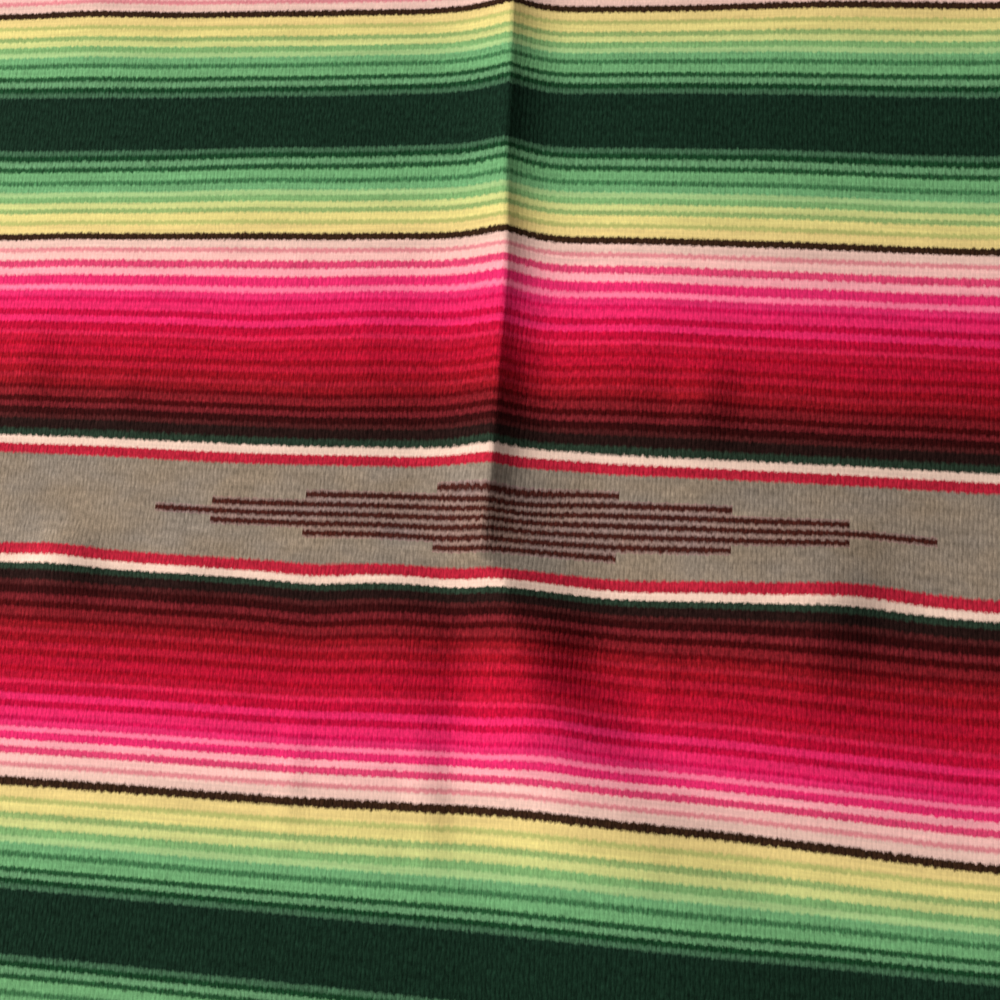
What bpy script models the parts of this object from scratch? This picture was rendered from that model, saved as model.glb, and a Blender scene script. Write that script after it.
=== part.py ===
"""A hand-woven serape laid out on a flat surface.

One cloth panel, woven in one piece, with its long side along Y, and a knotted fringe of
warp ends across each short side.  Metres, +Z up.  The origin is the middle of the footprint,
on the surface that the cloth rests on.
"""
import math

import bmesh
import bpy

# ---- driving dimensions ----
CLOTH_WIDTH = 1.220          # selvedge to selvedge, along X
CLOTH_LENGTH = 2.128         # hem to hem without the fringe, along Y
CLOTH_THICKNESS = 0.0025     # weft-faced weave, two thick wefts over a warp
SELVEDGE_DRAW_IN = 0.004     # most that a selvedge wavers inwards
SELVEDGE_WAVE = 0.76         # length of one such waver

HEADING_WIDTH = 0.0080       # band of twined warp ends that carries the fringe
HEADING_THICKNESS = 0.0022
SEAM_GAP = 0.0003            # between the panel's edge and the heading
FLOOR_GAP = 0.0004           # heading and strands stay this far above the surface

STRANDS_PER_END = 80
STRAND_LENGTH = 0.078        # from the heading to the tip, along Y
STRAND_LENGTH_SPREAD = 0.007
STRAND_SPLAY = 0.0032        # most that a tip swings sideways
ROOT_WIDTH = 0.0036
KNOT_WIDTH = 0.0064
KNOT_HEIGHT = 0.0046
KNOT_DISTANCE = 0.015        # from the heading to the middle of the knot
TIP_WIDTH = 0.0034
TIP_HEIGHT = 0.0026

# ---- grid of the panel ----
BROAD_COLUMN = 0.0360        # column spacing on the open cloth
CREASE_COLUMN = 0.0100       # column spacing over the middle crease
CREASE_COLUMNS_FROM = -0.110
CREASE_COLUMNS_TO = 0.080
ROW_SPACING = 0.0720

# ---- folds that run along the length ----
# One row per section: y, x of the crest, height of the crest, how far the cloth takes to come
# back down on the left and on the right, and how crisp the crest is (0 round, 1 a pressed fold).
FOLD_COLUMNS = ("y", "x", "height", "left", "right", "crisp")

MIDDLE_CREASE = (
    (1.064, -0.018, 0.0050, 0.060, 0.050, 0.2),
    (0.900, -0.022, 0.0090, 0.066, 0.050, 0.6),
    (0.700, -0.027, 0.0120, 0.072, 0.044, 0.9),
    (0.530, -0.022, 0.0115, 0.072, 0.036, 1.0),
    (0.420, -0.0165, 0.0110, 0.076, 0.034, 1.0),
    (0.345, -0.016, 0.0165, 0.080, 0.044, 1.0),
    (0.295, -0.0165, 0.0170, 0.080, 0.048, 1.0),
    (0.262, -0.018, 0.0160, 0.074, 0.058, 1.0),
    (0.243, -0.018, 0.0155, 0.062, 0.084, 0.8),
    (0.224, -0.003, 0.0155, 0.052, 0.064, 0.6),
    (0.190, 0.008, 0.0175, 0.044, 0.056, 0.2),
    (0.140, 0.026, 0.0160, 0.058, 0.064, 0.0),
    (0.090, 0.054, 0.0105, 0.086, 0.096, 0.0),
    (0.020, 0.100, 0.0060, 0.120, 0.120, 0.0),
    (-0.070, 0.130, 0.0000, 0.130, 0.130, 0.0),
)
LOWER_MIDDLE_CREASE = (
    (-0.020, -0.036, 0.0000, 0.070, 0.050, 0.2),
    (-0.130, -0.026, 0.0085, 0.070, 0.050, 0.6),
    (-0.300, -0.018, 0.0140, 0.072, 0.048, 1.0),
    (-0.530, -0.024, 0.0155, 0.074, 0.048, 1.0),
    (-0.700, -0.028, 0.0135, 0.070, 0.050, 0.9),
    (-0.900, -0.018, 0.0090, 0.066, 0.050, 0.6),
    (-1.064, -0.014, 0.0050, 0.060, 0.050, 0.2),
)
LEFT_QUARTER_CREASE = (
    (1.064, -0.322, 0.0040, 0.060, 0.070, 0.2),
    (0.860, -0.314, 0.0085, 0.066, 0.072, 0.6),
    (0.680, -0.320, 0.0070, 0.072, 0.080, 0.4),
    (0.600, -0.326, 0.0030, 0.080, 0.080, 0.3),
    (0.520, -0.322, 0.0000, 0.080, 0.080, 0.2),
)
LEFT_LOWER_SWELL = (
    (0.060, -0.330, 0.0000, 0.090, 0.100, 0.0),
    (-0.180, -0.345, 0.0075, 0.095, 0.110, 0.1),
    (-0.420, -0.312, 0.0110, 0.090, 0.100, 0.4),
    (-0.660, -0.300, 0.0085, 0.080, 0.090, 0.5),
    (-0.880, -0.318, 0.0000, 0.080, 0.080, 0.3),
)
RIGHT_QUARTER_CREASE = (
    (0.980, 0.310, 0.0000, 0.080, 0.070, 0.3),
    (0.780, 0.334, 0.0090, 0.086, 0.066, 0.6),
    (0.560, 0.392, 0.0100, 0.090, 0.070, 0.6),
    (0.400, 0.420, 0.0080, 0.100, 0.080, 0.2),
    (0.230, 0.440, 0.0000, 0.100, 0.090, 0.0),
)
RIGHT_SWELL = (
    (0.620, 0.100, 0.0000, 0.085, 0.180, 0.0),
    (0.450, 0.104, 0.0060, 0.085, 0.190, 0.0),
    (0.350, 0.078, 0.0160, 0.080, 0.230, 0.0),
    (0.306, 0.100, 0.0070, 0.080, 0.190, 0.0),
    (0.262, 0.144, 0.0080, 0.125, 0.130, 0.0),
    (0.215, 0.172, 0.0130, 0.120, 0.074, 0.1),
    (0.175, 0.172, 0.0130, 0.130, 0.082, 0.1),
    (0.125, 0.184, 0.0060, 0.120, 0.110, 0.0),
    (0.070, 0.205, 0.0000, 0.080, 0.080, 0.0),
)
LEFT_UPPER_SWELL = (
    (0.430, -0.108, 0.0000, 0.120, 0.050, 0.0),
    (0.350, -0.104, 0.0072, 0.120, 0.080, 0.0),
    (0.312, -0.110, 0.0030, 0.130, 0.076, 0.0),
    (0.240, -0.090, 0.0030, 0.110, 0.060, 0.0),
    (0.185, -0.062, 0.0056, 0.060, 0.046, 0.0),
    (0.130, -0.068, 0.0026, 0.080, 0.050, 0.0),
    (0.080, -0.080, 0.0000, 0.080, 0.060, 0.0),
)
RIGHT_LOWER_CREASE = (
    (-0.040, 0.305, 0.0000, 0.080, 0.090, 0.2),
    (-0.250, 0.318, 0.0080, 0.086, 0.080, 0.4),
    (-0.480, 0.308, 0.0115, 0.086, 0.070, 0.7),
    (-0.740, 0.300, 0.0090, 0.080, 0.070, 0.6),
    (-1.064, 0.312, 0.0040, 0.070, 0.060, 0.2),
)
LENGTHWISE_FOLDS = (
    MIDDLE_CREASE,
    LOWER_MIDDLE_CREASE,
    LEFT_QUARTER_CREASE,
    LEFT_LOWER_SWELL,
    RIGHT_QUARTER_CREASE,
    RIGHT_SWELL,
    LEFT_UPPER_SWELL,
    RIGHT_LOWER_CREASE,
)

# ---- waves that run in from the selvedges and across the cloth ----
# One row per wave: its two ends, the height midway between them and its half width.
CROSS_WAVE_COLUMNS = ("x0", "y0", "x1", "y1", "height", "reach")
CROSS_WAVES = (
    (-0.660, 0.720, -0.380, 0.640, 0.0070, 0.085),
    (-0.670, -0.010, -0.420, 0.050, 0.0060, 0.090),
    (-0.660, -0.690, -0.400, -0.770, 0.0075, 0.080),
    (0.660, 0.180, 0.400, 0.110, 0.0070, 0.085),
    (0.665, 0.860, 0.430, 0.900, 0.0060, 0.080),
    (0.660, -0.560, 0.420, -0.620, 0.0065, 0.090),
    (0.080, 0.600, 0.300, 0.660, 0.0035, 0.060),
    (-0.280, -0.560, -0.090, -0.600, 0.0040, 0.060),
    (0.070, -0.840, 0.250, -0.800, 0.0035, 0.055),
)

# ---- finishes: base colour (linear), roughness ----
CLOTH_FINISH = ((0.42, 0.05, 0.09), 0.92)
FRINGE_FINISH = ((0.70, 0.62, 0.50), 0.95)


def ease(t):
    """Smooth step from 0 to 1."""
    t = min(max(t, 0.0), 1.0)
    return t * t * (3.0 - 2.0 * t)


def section_at(fold, y):
    """The fold's section at y, or None past its ends."""
    for upper, lower in zip(fold[:-1], fold[1:]):
        if lower[0] <= y <= upper[0]:
            t = ease((upper[0] - y) / (upper[0] - lower[0]))
            return dict(zip(FOLD_COLUMNS, (a + (b - a) * t for a, b in zip(upper, lower))))
    return None


def flank(distance, crisp):
    """Height of a fold's flank, from 1 at the crest to 0 at its foot (distance 1)."""
    if distance >= 1.0:
        return 0.0
    pressed = (1.0 - distance) ** 2.5
    rounded = 1.0 - ease(distance)
    return rounded + (pressed - rounded) * crisp


def cloth_height(x, y):
    """Height of the panel's underside above the surface."""
    total = 0.0
    for fold in LENGTHWISE_FOLDS:
        section = section_at(fold, y)
        if section is None:
            continue
        offset = x - section["x"]
        reach = section["left"] if offset < 0.0 else section["right"]
        total += section["height"] * flank(abs(offset) / reach, section["crisp"])
    for wave in CROSS_WAVES:
        row = dict(zip(CROSS_WAVE_COLUMNS, wave))
        run_x = row["x1"] - row["x0"]
        run_y = row["y1"] - row["y0"]
        run = math.hypot(run_x, run_y)
        along = ((x - row["x0"]) * run_x + (y - row["y0"]) * run_y) / run
        across = abs((y - row["y0"]) * run_x - (x - row["x0"]) * run_y) / run
        if 0.0 < along < run and across < row["reach"]:
            swell = math.sin(math.pi * along / run) ** 2
            total += row["height"] * swell * flank(across / row["reach"], 0.0)
    return total


def selvedge(y, side):
    """X of the selvedge at y; side is -1 on the left and +1 on the right."""
    phase = 0.5 * CLOTH_LENGTH + side * y
    waver = 0.5 - 0.5 * math.cos(2.0 * math.pi * phase / SELVEDGE_WAVE)
    return side * (0.5 * CLOTH_WIDTH - SELVEDGE_DRAW_IN * waver)


def even_steps(start, stop, spacing):
    """Evenly spaced values from start up to but without stop."""
    count = max(1, round((stop - start) / spacing))
    return [start + (stop - start) * i / count for i in range(count)]


def panel_columns():
    """Across the width from 0 to 1, closest together over the middle crease."""
    half = 0.5 * CLOTH_WIDTH
    places = even_steps(-half, CREASE_COLUMNS_FROM, BROAD_COLUMN)
    places += even_steps(CREASE_COLUMNS_FROM, CREASE_COLUMNS_TO, CREASE_COLUMN)
    places += even_steps(CREASE_COLUMNS_TO, half, BROAD_COLUMN)
    places.append(half)
    return [(place + half) / CLOTH_WIDTH for place in places]


def panel_rows():
    """Along the length, with a row through each section of the middle crease."""
    creases = MIDDLE_CREASE + LOWER_MIDDLE_CREASE
    stops = sorted({section[0] for section in creases})
    rows = []
    for low, high in zip(stops[:-1], stops[1:]):
        rows += even_steps(low, high, ROW_SPACING)
    rows.append(stops[-1])
    return rows


def panel_x(across, y):
    """X of the point that lies at the given share of the width."""
    left = selvedge(y, -1)
    right = selvedge(y, 1)
    return left + (right - left) * across


def finish(name, colour, roughness):
    """A plain fabric material."""
    material = bpy.data.materials.new(name)
    material.use_nodes = True
    shader = material.node_tree.nodes["Principled BSDF"]
    shader.inputs["Base Color"].default_value = (*colour, 1.0)
    shader.inputs["Roughness"].default_value = roughness
    shader.inputs["Metallic"].default_value = 0.0
    return material


def add_object(name, mesh_builder, material):
    """Turn a bmesh into a named object with its own material."""
    bmesh.ops.recalc_face_normals(mesh_builder, faces=mesh_builder.faces)
    mesh = bpy.data.meshes.new(name)
    mesh_builder.to_mesh(mesh)
    mesh_builder.free()
    mesh.materials.append(material)
    piece = bpy.data.objects.new(name, mesh)
    bpy.context.scene.collection.objects.link(piece)
    return piece


def build_panel():
    """The woven panel: one wall whose two faces follow the same folds."""
    builder = bmesh.new()
    columns = panel_columns()
    rows = panel_rows()
    upper = []
    lower = []
    for y in rows:
        under = [(x, y, cloth_height(x, y)) for x in (panel_x(across, y) for across in columns)]
        lower.append([builder.verts.new(place) for place in under])
        upper.append([builder.verts.new((x, y, z + CLOTH_THICKNESS)) for x, y, z in under])
    last_row = len(rows) - 1
    last_column = len(columns) - 1
    for r in range(last_row):
        for c in range(last_column):
            builder.faces.new((upper[r][c], upper[r][c + 1], upper[r + 1][c + 1], upper[r + 1][c]))
            builder.faces.new((lower[r][c], lower[r + 1][c], lower[r + 1][c + 1], lower[r][c + 1]))
        for c in (0, last_column):
            builder.faces.new((lower[r][c], lower[r + 1][c], upper[r + 1][c], upper[r][c]))
    for c in range(last_column):
        for r in (0, last_row):
            builder.faces.new((lower[r][c], lower[r][c + 1], upper[r][c + 1], upper[r][c]))
    bmesh.ops.triangulate(builder, faces=builder.faces)
    return add_object("cloth_panel", builder, finish("striped cloth", *CLOTH_FINISH))


def uneven(index, pace):
    """A steady value between -1 and 1 that differs from strand to strand."""
    return math.sin(index * pace + 1.3 * math.sin(index * 0.7 * pace))


def heading_bottom(x, end):
    """Height of the underside of the heading, which follows the hem's folds."""
    return cloth_height(x, end * 0.5 * CLOTH_LENGTH) + FLOOR_GAP


def strand_sections(index, x, end):
    """Sections of one strand from its root to its tip: x, y, width, bottom and top."""
    root_y = 0.5 * CLOTH_LENGTH + SEAM_GAP + HEADING_WIDTH
    root_z = heading_bottom(x, end)
    length = STRAND_LENGTH + STRAND_LENGTH_SPREAD * uneven(index, 2.1 + 0.3 * end)
    swing = STRAND_SPLAY * uneven(index, 1.4 - 0.2 * end)
    knot_share = KNOT_DISTANCE / length
    knot_z = FLOOR_GAP + 0.35 * (root_z - FLOOR_GAP)
    return (
        (x, root_y, ROOT_WIDTH, root_z, root_z + HEADING_THICKNESS),
        (x + swing * knot_share, root_y + KNOT_DISTANCE, KNOT_WIDTH, knot_z, knot_z + KNOT_HEIGHT),
        (x + swing, root_y + length, TIP_WIDTH, FLOOR_GAP, FLOOR_GAP + TIP_HEIGHT),
    )


def section_corners(builder, section, end):
    """The four corners of a strand's section, in order round it."""
    x, y, width, bottom, top = section
    low_x = x - 0.5 * width
    high_x = x + 0.5 * width
    corners = ((low_x, bottom), (high_x, bottom), (high_x, top), (low_x, top))
    return [builder.verts.new((corner_x, end * y, corner_z)) for corner_x, corner_z in corners]


def join_sections(builder, first, second):
    """Four side faces between two sections of a strand."""
    for i in range(4):
        j = (i + 1) % 4
        builder.faces.new((first[i], first[j], second[j], second[i]))


def build_fringe(name, end):
    """Heading and strands across one hem; end is -1 at the foot and +1 at the head."""
    builder = bmesh.new()
    inner_y = end * (0.5 * CLOTH_LENGTH + SEAM_GAP)
    half_width = 0.5 * CLOTH_WIDTH - SELVEDGE_DRAW_IN
    pitch = 2.0 * half_width / STRANDS_PER_END
    inner_loops = []
    outer_loops = []
    for index in range(STRANDS_PER_END):
        centre = -half_width + (index + 0.5) * pitch
        sections = strand_sections(index, centre, end)
        root = section_corners(builder, sections[0], end)
        previous = root
        for section in sections[1:]:
            ring = section_corners(builder, section, end)
            join_sections(builder, previous, ring)
            previous = ring
        builder.faces.new(previous)
        inner = [builder.verts.new((corner.co.x, inner_y, corner.co.z)) for corner in root]
        outer_loops.append(root)
        inner_loops.append(inner)
        builder.faces.new((root[0], root[1], inner[1], inner[0]))
        builder.faces.new((root[3], root[2], inner[2], inner[3]))
        builder.faces.new(inner)
    for index in range(STRANDS_PER_END - 1):
        near, far = outer_loops[index], outer_loops[index + 1]
        near_in, far_in = inner_loops[index], inner_loops[index + 1]
        builder.faces.new((near[1], far[0], far[3], near[2]))
        builder.faces.new((near_in[1], far_in[0], far_in[3], near_in[2]))
        builder.faces.new((near[1], far[0], far_in[0], near_in[1]))
        builder.faces.new((near[2], far[3], far_in[3], near_in[2]))
    for outer, inner, low, high in (
        (outer_loops[0], inner_loops[0], 0, 3),
        (outer_loops[-1], inner_loops[-1], 1, 2),
    ):
        builder.faces.new((outer[low], outer[high], inner[high], inner[low]))
    bmesh.ops.triangulate(builder, faces=builder.faces)
    return add_object(name, builder, finish("warp yarn " + name, *FRINGE_FINISH))


def main():
    for old in list(bpy.data.objects):
        bpy.data.objects.remove(old, do_unlink=True)
    build_panel()
    build_fringe("fringe_head_end", 1)
    build_fringe("fringe_foot_end", -1)


main()
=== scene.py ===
import math

import bpy
import numpy as np
from mathutils import Matrix, Vector


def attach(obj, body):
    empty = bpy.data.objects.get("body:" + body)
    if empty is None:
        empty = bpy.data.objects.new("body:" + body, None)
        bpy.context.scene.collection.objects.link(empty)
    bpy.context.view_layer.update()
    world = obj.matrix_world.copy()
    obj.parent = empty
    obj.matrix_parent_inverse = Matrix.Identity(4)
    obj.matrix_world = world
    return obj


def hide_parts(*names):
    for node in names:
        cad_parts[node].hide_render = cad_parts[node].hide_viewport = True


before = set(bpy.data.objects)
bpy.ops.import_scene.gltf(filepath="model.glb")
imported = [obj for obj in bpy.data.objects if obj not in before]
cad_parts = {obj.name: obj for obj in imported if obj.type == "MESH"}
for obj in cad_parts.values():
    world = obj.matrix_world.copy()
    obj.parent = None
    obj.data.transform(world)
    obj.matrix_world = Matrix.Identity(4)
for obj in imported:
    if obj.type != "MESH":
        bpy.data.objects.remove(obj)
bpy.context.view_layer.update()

# A hand-woven serape laid out on a flat surface.  Metres, +Z up.  The cloth is one panel; it is
# meshed as eight patches that share their edges, two across and one for each colour repeat.

# ---- sizes, as in the part's source ----
CLOTH_WIDTH = 1.220
CLOTH_LENGTH = 2.128
HALF_WIDTH = 0.5 * CLOTH_WIDTH
HEM = 0.5 * CLOTH_LENGTH     # y of the hem at the head end
CLOTH_THICKNESS = 0.0025
SELVEDGE_DRAW_IN = 0.004
SELVEDGE_WAVE = 0.76
HEADING_WIDTH = 0.0080
HEADING_THICKNESS = 0.0022
SEAM_GAP = 0.0003
FLOOR_GAP = 0.0004
STRANDS_PER_END = 80
STRAND_LENGTH = 0.078
STRAND_LENGTH_SPREAD = 0.007
STRAND_SPLAY = 0.0032
KNOT_HEIGHT = 0.0046
KNOT_DISTANCE = 0.015
TIP_HEIGHT = 0.0026

# ---- the weave ----
REPEAT = 0.532               # one full colour repeat along the length
RIB_PITCH = CLOTH_WIDTH / 436
PICK_PITCH = 0.0019          # height of one bead of weft
TOOTH_DEPTH = 0.00030        # how far a colour edge steps from rib to rib
TOOTH_WANDER = 0.0021        # how far its fibres stray from that
RIB_SWAY = 0.0030            # how unevenly the warps are spaced
BEAD_SHARE = 0.28            # how much of the relief is beads along a rib, the rest the rib
VALLEY_SHADE = 0.12          # how much painted shade darkens the colour between two ribs
DETAIL_IN_DARK = 2.3         # how strongly dark yarn and pale yarn show fibres and ribs
DETAIL_IN_PALE = 0.4
MILLIMETRE = 0.001

# ---- folds along the length, as in the part's source ----
# y, x of the crest, height, reach to the left and to the right, how crisp the crest is
MIDDLE_CREASE = (
    (1.064, -0.018, 0.0050, 0.060, 0.050, 0.2),
    (0.900, -0.022, 0.0090, 0.066, 0.050, 0.6),
    (0.700, -0.027, 0.0120, 0.072, 0.044, 0.9),
    (0.530, -0.022, 0.0115, 0.072, 0.036, 1.0),
    (0.420, -0.0165, 0.0110, 0.076, 0.034, 1.0),
    (0.345, -0.016, 0.0165, 0.080, 0.044, 1.0),
    (0.295, -0.0165, 0.0170, 0.080, 0.048, 1.0),
    (0.262, -0.018, 0.0160, 0.074, 0.058, 1.0),
    (0.243, -0.018, 0.0155, 0.062, 0.084, 0.8),
    (0.224, -0.003, 0.0155, 0.052, 0.064, 0.6),
    (0.190, 0.008, 0.0175, 0.044, 0.056, 0.2),
    (0.140, 0.026, 0.0160, 0.058, 0.064, 0.0),
    (0.090, 0.054, 0.0105, 0.086, 0.096, 0.0),
    (0.020, 0.100, 0.0060, 0.120, 0.120, 0.0),
    (-0.070, 0.130, 0.0000, 0.130, 0.130, 0.0),
)
LOWER_MIDDLE_CREASE = (
    (-0.020, -0.036, 0.0000, 0.070, 0.050, 0.2),
    (-0.130, -0.026, 0.0085, 0.070, 0.050, 0.6),
    (-0.300, -0.018, 0.0140, 0.072, 0.048, 1.0),
    (-0.530, -0.024, 0.0155, 0.074, 0.048, 1.0),
    (-0.700, -0.028, 0.0135, 0.070, 0.050, 0.9),
    (-0.900, -0.018, 0.0090, 0.066, 0.050, 0.6),
    (-1.064, -0.014, 0.0050, 0.060, 0.050, 0.2),
)
LEFT_QUARTER_CREASE = (
    (1.064, -0.322, 0.0040, 0.060, 0.070, 0.2),
    (0.860, -0.314, 0.0085, 0.066, 0.072, 0.6),
    (0.680, -0.320, 0.0070, 0.072, 0.080, 0.4),
    (0.600, -0.326, 0.0030, 0.080, 0.080, 0.3),
    (0.520, -0.322, 0.0000, 0.080, 0.080, 0.2),
)
LEFT_LOWER_SWELL = (
    (0.060, -0.330, 0.0000, 0.090, 0.100, 0.0),
    (-0.180, -0.345, 0.0075, 0.095, 0.110, 0.1),
    (-0.420, -0.312, 0.0110, 0.090, 0.100, 0.4),
    (-0.660, -0.300, 0.0085, 0.080, 0.090, 0.5),
    (-0.880, -0.318, 0.0000, 0.080, 0.080, 0.3),
)
RIGHT_QUARTER_CREASE = (
    (0.980, 0.310, 0.0000, 0.080, 0.070, 0.3),
    (0.780, 0.334, 0.0090, 0.086, 0.066, 0.6),
    (0.560, 0.392, 0.0100, 0.090, 0.070, 0.6),
    (0.400, 0.420, 0.0080, 0.100, 0.080, 0.2),
    (0.230, 0.440, 0.0000, 0.100, 0.090, 0.0),
)
RIGHT_SWELL = (
    (0.620, 0.100, 0.0000, 0.085, 0.180, 0.0),
    (0.450, 0.104, 0.0060, 0.085, 0.190, 0.0),
    (0.350, 0.078, 0.0160, 0.080, 0.230, 0.0),
    (0.306, 0.100, 0.0070, 0.080, 0.190, 0.0),
    (0.262, 0.144, 0.0080, 0.125, 0.130, 0.0),
    (0.215, 0.172, 0.0130, 0.120, 0.074, 0.1),
    (0.175, 0.172, 0.0130, 0.130, 0.082, 0.1),
    (0.125, 0.184, 0.0060, 0.120, 0.110, 0.0),
    (0.070, 0.205, 0.0000, 0.080, 0.080, 0.0),
)
LEFT_UPPER_SWELL = (
    (0.430, -0.108, 0.0000, 0.120, 0.050, 0.0),
    (0.350, -0.104, 0.0072, 0.120, 0.080, 0.0),
    (0.312, -0.110, 0.0030, 0.130, 0.076, 0.0),
    (0.240, -0.090, 0.0030, 0.110, 0.060, 0.0),
    (0.185, -0.062, 0.0056, 0.060, 0.046, 0.0),
    (0.130, -0.068, 0.0026, 0.080, 0.050, 0.0),
    (0.080, -0.080, 0.0000, 0.080, 0.060, 0.0),
)
RIGHT_LOWER_CREASE = (
    (-0.040, 0.305, 0.0000, 0.080, 0.090, 0.2),
    (-0.250, 0.318, 0.0080, 0.086, 0.080, 0.4),
    (-0.480, 0.308, 0.0115, 0.086, 0.070, 0.7),
    (-0.740, 0.300, 0.0090, 0.080, 0.070, 0.6),
    (-1.064, 0.312, 0.0040, 0.070, 0.060, 0.2),
)
LENGTHWISE_FOLDS = (
    MIDDLE_CREASE, LOWER_MIDDLE_CREASE, LEFT_QUARTER_CREASE, LEFT_LOWER_SWELL,
    RIGHT_QUARTER_CREASE, RIGHT_SWELL, LEFT_UPPER_SWELL, RIGHT_LOWER_CREASE,
)
CREST_ROUNDING = 0.03        # share of a fold's reach over which its crest is rounded

# ---- waves across the cloth, as in the part's source: x0, y0, x1, y1, height, reach ----
CROSS_WAVES = (
    (-0.660, 0.720, -0.380, 0.640, 0.0070, 0.085),
    (-0.670, -0.010, -0.420, 0.050, 0.0060, 0.090),
    (-0.660, -0.690, -0.400, -0.770, 0.0075, 0.080),
    (0.660, 0.180, 0.400, 0.110, 0.0070, 0.085),
    (0.665, 0.860, 0.430, 0.900, 0.0060, 0.080),
    (0.660, -0.560, 0.420, -0.620, 0.0065, 0.090),
    (0.080, 0.600, 0.300, 0.660, 0.0035, 0.060),
    (-0.280, -0.560, -0.090, -0.600, 0.0040, 0.060),
    (0.070, -0.840, 0.250, -0.800, 0.0035, 0.055),
)

# ---- finer creases that only the look carries: x0, y0, x1, y1, height, reach ----
FINE_CREASES = (
    (-0.124, 0.196, -0.134, 0.020, 0.0010, 0.014),
    (0.100, 0.218, 0.090, 0.126, 0.0014, 0.012),
    (0.116, 0.385, 0.108, 0.300, 0.0046, 0.024),
    (-0.106, 0.425, -0.106, 0.325, 0.0008, 0.013),
    (-0.344, 0.410, -0.330, 0.290, 0.0026, 0.024),
    (-0.054, 0.165, -0.034, 0.030, 0.0022, 0.018),
    (-0.302, 0.262, -0.290, 0.180, 0.0062, 0.034),
    (-0.216, 0.264, -0.206, 0.186, 0.0030, 0.034),
    (-0.276, 0.366, -0.262, 0.306, 0.0022, 0.022),
    (0.226, 0.430, 0.216, 0.270, 0.0050, 0.090),
    (0.203, 0.292, 0.176, 0.150, 0.0042, 0.034),
    (0.252, 0.240, 0.246, 0.130, 0.0016, 0.050),
    (0.022, 0.330, 0.022, 0.266, 0.0026, 0.028),
    (0.018, 0.430, 0.018, 0.345, 0.0020, 0.040),
    (0.020, 0.222, 0.022, 0.142, 0.0028, 0.036),
)

# The line where the left and right patches meet runs along the middle crests.
SEAM_BEND = (0.100, -0.030)  # y and x of the one point of the seam between the two crests
SEAM_ROWS = 7                # rows of the upper crest that the seam follows


def ease(t):
    """Smooth step from 0 to 1."""
    t = np.clip(t, 0.0, 1.0)
    return t * t * (3.0 - 2.0 * t)


def eased_between(stops, y):
    """Value at y of stops (y, value) given from the head to the foot."""
    places, values = np.array(stops).T
    at = np.clip(np.searchsorted(-places, -y, side="right") - 1, 0, len(stops) - 2)
    t = ease((places[at] - y) / (places[at] - places[at + 1]))
    return values[at] + (values[at + 1] - values[at]) * t


def flank(distance, crisp):
    """Height of a fold's flank, from 1 at the crest to 0 at its foot (distance 1)."""
    distance = np.sqrt(distance ** 2 + CREST_ROUNDING ** 2) - CREST_ROUNDING
    distance = np.clip(distance, 0.0, 1.0)
    pressed = (1.0 - distance) ** 2.5
    rounded = 1.0 - ease(distance)
    return rounded + (pressed - rounded) * crisp


def fold_lift(fold, x, y):
    """How far one lengthwise fold lifts the cloth."""
    lift = np.zeros_like(x)
    for upper, lower in zip(fold[:-1], fold[1:]):
        inside = (y <= upper[0]) & (y > lower[0])
        t = ease((upper[0] - y) / (upper[0] - lower[0]))
        crest, height, left, right, crisp = (a + (b - a) * t for a, b in zip(upper[1:], lower[1:]))
        offset = x - crest
        reach = np.where(offset < 0.0, left, right)
        lift += np.where(inside, height * flank(np.abs(offset) / reach, crisp), 0.0)
    return lift


def wave_lift(wave, x, y):
    """How far one short wave or crease lifts the cloth."""
    x0, y0, x1, y1, height, reach = wave
    run = math.hypot(x1 - x0, y1 - y0)
    along = ((x - x0) * (x1 - x0) + (y - y0) * (y1 - y0)) / run
    across = np.abs((y - y0) * (x1 - x0) - (x - x0) * (y1 - y0)) / run
    swell = np.sin(math.pi * np.clip(along / run, 0.0, 1.0)) ** 2
    return height * swell * flank(across / reach, 0.0)


COCKLE_HEIGHT = 0.00045
COCKLE_WAVES = 14


def cockle(x, y):
    """The slight unevenness of a cloth that has been used and washed."""
    total = np.zeros_like(x)
    for i in range(COCKLE_WAVES):
        turn = 2.4 * i                    # each wave runs another way than the one before,
        count = 17.0 + 5.3 * i            # is shorter
        share = 1.0 / (1.0 + 0.12 * i)    # and lower
        phase = count * (1.6 * x * math.cos(turn) + y * math.sin(turn)) * 2.0 + 1.7 * i
        total += share * np.sin(phase + 1.3 * np.sin(9.0 * x - 7.0 * y + i))
    return COCKLE_HEIGHT * (0.5 + 0.5 * np.tanh(0.45 * total))


def cloth_height(x, y):
    """Height of the cloth's underside above the surface."""
    within = HEM - 0.0001    # just inside the first and last rows of the folds
    y = np.clip(y, -within, within)
    total = cockle(x, y)
    for fold in LENGTHWISE_FOLDS:
        total = total + fold_lift(fold, x, y)
    for wave in CROSS_WAVES + FINE_CREASES:
        total = total + wave_lift(wave, x, y)
    return total


def selvedge(y, side):
    """X of the selvedge at y; side is -1 on the left and +1 on the right."""
    phase = HEM + side * y
    waver = 0.5 - 0.5 * np.cos(2.0 * math.pi * phase / SELVEDGE_WAVE)
    return side * (HALF_WIDTH - SELVEDGE_DRAW_IN * waver)


def seam_x(y):
    """X of the line where the left and right patches meet."""
    upper = [row[:2] for row in MIDDLE_CREASE[:SEAM_ROWS]]
    lower = [row[:2] for row in LOWER_MIDDLE_CREASE]
    return eased_between([*upper, SEAM_BEND, *lower], y)


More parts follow.
